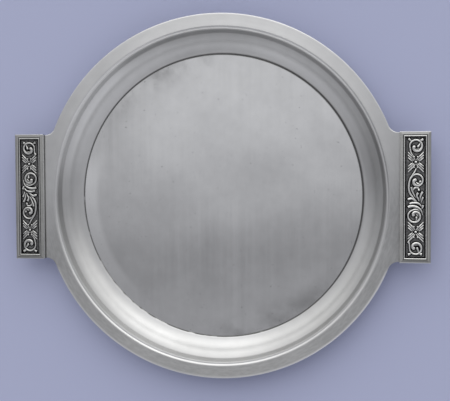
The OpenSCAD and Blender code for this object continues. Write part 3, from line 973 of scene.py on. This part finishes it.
# Leaves and stems: half widths at the start, in the middle and at the end, and the route
leaves = [
    ((1.2, 1, 0.5), [(-6.6, 55), (-5.4, 54.4), (-3.6, 53)]),
    ((1.2, 1, 0.5), [(7.2, 54.8), (5.4, 53.7), (3, 52.9)]),
    ((0.5, 0.8, 0.8), [(-0.6, 37.2), (-2.6, 39.6), (-4.2, 42.2), (-4.9, 45.4)]),
    ((0.6, 0.8, 0.9), [(4.7, 51.2), (3.8, 49.6), (2.5, 48)]),
    ((0.4, 0.9, 0.4), [(-1.2, 46.4), (0.4, 45.1), (2.6, 45.2), (4.3, 46.6)]),
    ((0.5, 0.8, 0.8), [(0.8, 27.2), (-0.4, 24.6), (-2.2, 21.6), (-3.8, 19.2)]),
    ((0.5, 1, 0.8), [
        (1.4, -4.2), (-0.9, -1.6), (-2.8, 0.9), (-4.6, 3.2), (-5.8, 6.4),
        (-6.1, 10), (-5.7, 14), (-4.6, 17.8), (-2.7, 20.1),
    ]),
    ((0.5, 0.7, 0.8), [(6.8, 16.6), (5.9, 15.1), (4.4, 14.8)]),
    ((0.4, 0.9, 0.4), [(0.6, 14.4), (1.8, 13.1), (3.6, 13.1), (5, 14.2)]),
    ((1.1, 0.8, 0.3), [(-3.8, 9.8), (-3, 6.6), (-1.4, 2.8), (0.6, -0.6)]),
    ((0.5, 0.9, 0.6), [(-2.6, 4.8), (-2, 7.2), (-0.6, 8.9), (1.2, 9.3), (2.8, 8.5), (3.4, 6.9)]),
    ((1.1, 0.8, 0.5), [(2.6, 4.4), (1.5, 2.6), (1.6, 0.6), (2.7, -1.2), (3.4, -3.4)]),
    ((1, 0.9, 0.4), [(6.8, 5.4), (5.4, 2.9), (4.5, 0.2), (4.6, -3)]),
    ((1, 0.8, 0.4), [(7.2, 0.4), (6.2, -1.8), (5.4, -4.6)]),
    ((1.1, 0.9, 0.4), [(-6.2, -1.6), (-4.2, -1), (-2.4, -1.4), (-0.6, -2.8), (0.8, -4.2)]),
    ((0.9, 1, 0.5), [(-5.4, -6), (-2.4, -5.1), (1, -5.2), (3.8, -6.3), (6, -8.8)]),
    ((1.2, 1, 0.4), [
        (-6.9, -9.2), (-4.6, -8.3), (-1.2, -8.3), (1.8, -9.2),
        (4.4, -11), (6, -13.4), (6.7, -16.6),
    ]),
    ((0.6, 0.9, 0.4), [(-3.4, -12.4), (-0.4, -11.4), (2.6, -11.9), (4.6, -13.8)]),
    ((1.1, 0.8, 0.3), [(7.2, -7.2), (6.6, -9.4), (5.6, -11)]),
    ((0.6, 0.8, 1), [(0.4, -22.8), (1.2, -20.8), (1.1, -18.9)]),
    ((0.4, 0.9, 0.4), [(-1, -16.4), (0.4, -15.9), (2, -16.4), (2.9, -18.2), (2.5, -20.2)]),
    ((1.2, 0.8, 0.8), [(-6.7, -41.6), (-5.6, -43.4), (-5.2, -47)]),
    ((0.6, 0.8, 1), [(3.2, -51.6), (2.5, -49.4), (1.9, -47.9)]),
    ((0.4, 0.9, 0.4), [(-1.6, -46.6), (-0.4, -45), (1.6, -44.5), (3.4, -45.4)]),
    ((1.3, 0.9, 0.5), [(-6.6, -54), (-5.2, -53.4), (-3.6, -52.4)]),
    ((1.3, 1, 0.5), [(6.2, -53.6), (4.8, -53.2), (3, -52.4)]),
]
# Each rosette's middle, and in one of its four leaves the root and tip of each rib and the place of a bud
rosettes = [(0.4, 33.2), (0.4, -32.6)]
rosette_ribs = [((0.5, 2.1), (7.2, 9.3)), ((1.6, 1.4), (7.3, 6.7)), ((2.9, 0.8), (7.1, 4.1))]
rosette_bud = (1.8, 4.9)
rib_widths = (0.45, 0.85, 0.5)
# Round tips of leaves, and the radii of everything round
tips = [(-6.4, -1.6), (2.4, 47.8), (4.4, 14.9), (3.2, 7), (1.1, -18.9), (1.9, -47.9)]
tip_r = 1.2
eye_r = 1.7
button_r = 1.4
bud_r = 1.0
rib_steps = 4


def spiral(centre, first_r, last_r, first_angle, turn):
    """Points of a scroll that curls in late."""
    points = []
    for i in range(scroll_points + 1):
        f = i / scroll_points
        r = first_r + (last_r - first_r) * f**curl_in
        a = math.radians(first_angle + turn * f)
        points.append((centre[0] + r * math.cos(a), centre[1] + r * math.sin(a)))
    return points


def swelling(widths, count):
    """Half widths along a strand, from its start through its middle to its end."""
    start, middle, end = (foot_swell * w for w in widths)
    swell = []
    for i in range(count):
        f = 2 * i / (count - 1)
        swell.append(start + (middle - start) * f if f < 1 else middle + (end - middle) * (f - 1))
    return swell


def relief_parts():
    """Every strand as (route, half widths), and every knob as (place, radius), in mm."""
    strands = []
    knobs = [(tip, tip_r) for tip in tips]
    for scroll in scrolls:
        route = spiral(*scroll)
        strands.append((route, swelling(scroll_widths, len(route))))
        knobs.append((route[-1], eye_r))
    for widths, route in leaves:
        strands.append((route, swelling(widths, len(route))))
    for cx, cy in rosettes:
        knobs.append(((cx, cy), button_r))
        for sx in (-1, 1):
            for sy in (-1, 1):
                knobs.append(((cx + sx * rosette_bud[0], cy + sy * rosette_bud[1]), bud_r))
                for root, tip in rosette_ribs:
                    steps = [(i / rib_steps, 1 - i / rib_steps) for i in range(rib_steps + 1)]
                    rib = [(tip[0] * f + root[0] * g, tip[1] * f + root[1] * g) for f, g in steps]
                    route = [(cx + sx * u, cy + sy * v) for u, v in rib]
                    strands.append((route, swelling(rib_widths, len(route))))
    return strands, knobs


strands, knobs = relief_parts()
print("strands:", len(strands), "knobs:", len(knobs))

# %% Blackened casting
def plaque_finish():
    material, shader, place = new_finish("plaque_metal")
    x, y, _ = place.xyz()
    patches = place.noise(500, 3)
    beside = plaque_half.x - abs(abs(x) - plaque_middle.x)
    edge = beside.smaller(plaque_half.y - abs(y))
    proud = place.node("ShaderNodeAttribute", {"attribute_name": "proud"}, {}, "Fac") / MM
    polished = (proud + 0.2 * (patches - 0.5)).ramp(-0.02, 0.17) * (1 - 0.3 * left_side(x))
    # Within 0.45 mm of the plaque's edge nothing is polished, which leaves painted shade in the gap beside
    # the frame.
    polished = polished * edge.ramp(0.1 * MM, 0.45 * MM)
    sooty = (0.1 * (patches - 0.5) - proud).ramp(0.03, 0.15)
    bright = place.noise(900, 3).ramp(0.3, 0.7).mix((0.74, 0.74, 0.72, 1), (0.95, 0.95, 0.93, 1))
    field = place.noise(1400, 3).ramp(0.35, 0.65).mix((0.07, 0.07, 0.072, 1), grey(0.17))
    colour = polished.mix(sooty.mix(field, (0.01, 0.01, 0.011, 1)), bright)
    rough = 0.42 - 0.2 * polished
    bump = place.node("ShaderNodeBump", {}, {"Strength": 0.4, "Distance": 0.04 * MM, "Height": patches})
    connect(shader, Base_Color=colour, Roughness=rough, Normal=bump)
    return material


plaque_metal = plaque_finish()
print("finish:", plaque_metal.name)

# %% Cast both plaques
relief_spacing = 0.17 * MM
plaque_rim_w = 1.6 * MM
ridge_w = 0.9 * MM


def strand_mesh():
    """Every strand as a chain of points that know their half width."""
    points, edges, swell = [], [], []
    for route, widths in strands:
        edges += [(len(points) + i, len(points) + i + 1) for i in range(len(route) - 1)]
        points += [(u * MM, v * MM, 0) for u, v in route]
        swell += [w * MM for w in widths]
    return points_mesh("strands", points, edges, swell=swell)


knob_points = [(u * MM, v * MM, 0) for (u, v), r in knobs]
knob_dots = hidden_object(points_mesh("knobs", knob_points, swell=[r * MM for place, r in knobs]))
plaque_mesh = grown(
    cast_relief, "right_scrollwork", strand_mesh(), Knobs=knob_dots, Spacing=relief_spacing,
    Width=plaque_hi.x - plaque_lo.x, Length=plaque_hi.y - plaque_lo.y, Base=-plate_t,
    Rim_Width=plaque_rim_w, Rim_Height=plaque_hi.z - field_z, Ridge=ridge_w,
    Middle=plaque_middle, Finish=plaque_metal,
)
bpy.data.objects.remove(knob_dots)
at_both_handles("scrollwork", plaque_mesh, "ornament_plaque")

# %% [markdown]
# ## Rivets
#
# Two rivets hold each frame to its tab: a domed head below, a shank, and a closing head under the plaque.
# One rivet is again a section carried round a circle, and a second tree sets it on the two points where
# the rivets of a handle stand.

# %% Set the rivets
def rivet_finish():
    material, shader, place = new_finish("rivet_steel")
    marks = place.noise(1200, 3)
    colour = marks.ramp(0.3, 0.7).mix((0.62, 0.62, 0.61, 1), (0.78, 0.78, 0.77, 1))
    connect(shader, Base_Color=colour, Roughness=0.25 + 0.15 * marks)
    return material


def set_on_points_tree():
    tree, target, wires = new_tree("set_on_points", Points="Geometry", Piece="Object", Finish="Material")
    points, piece, finish = wires
    shape = points.node("GeometryNodeObjectInfo", {}, {"Object": piece}, "Geometry")
    copies = points.node("GeometryNodeInstanceOnPoints", {}, {0: points, "Instance": shape})
    tree.links.new(finished(copies, finish).output, target.inputs[0])
    return tree


rivet_lo, rivet_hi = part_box("right_handle_rivets")
head_d = rivet_hi.x - rivet_lo.x
rivet_pitch = rivet_hi.y - rivet_lo.y - head_d
rivet_r = 2 * MM
closing_r = 3.2 * MM
closing_h = 0.9 * MM
tab_under = rim_z - sheet_t
head_h = tab_under - rivet_lo.z
dome_steps = 10
round_steps = 48


def rivet_section():
    """Section points: radius, no lean, and height."""
    dome_r = (head_d**2 / 4 + head_h**2) / (2 * head_h)
    dome_angle = math.asin(head_d / 2 / dome_r)
    points = [(0, 0, rivet_hi.z), (closing_r, 0, rivet_hi.z), (rivet_r, 0, rivet_hi.z - closing_h)]
    points.append((rivet_r, 0, tab_under))
    for i in range(dome_steps, -1, -1):
        low = dome_r * into(dome_angle * i / dome_steps)
        points.append((low.x, 0, rivet_lo.z + dome_r + low.y))
    return points


angles = [math.tau * i / round_steps for i in range(round_steps)]
circle = [Vector((math.cos(a), math.sin(a), 0)) for a in angles]
rivet_loop = hidden_object(points_mesh("rivet_outline", circle, lean=[Vector()] * len(circle)))
rivet_steel = rivet_finish()
rivet_source = points_mesh("rivet_section", rivet_section())
rivet_mesh = grown(carried_section, "rivet", rivet_source, Outline=rivet_loop, Finish=rivet_steel)
rivet_shape = hidden_object(rivet_mesh)
bpy.data.objects.remove(rivet_loop)
stations = points_mesh("stations", [(frame_middle.x, side * rivet_pitch / 2, 0) for side in (-1, 1)])
rivets_mesh = grown(set_on_points_tree(), "right_rivets", stations, Piece=rivet_shape, Finish=rivet_steel)
bpy.data.objects.remove(rivet_shape)
at_both_handles("rivets", rivets_mesh, "handle_rivets")
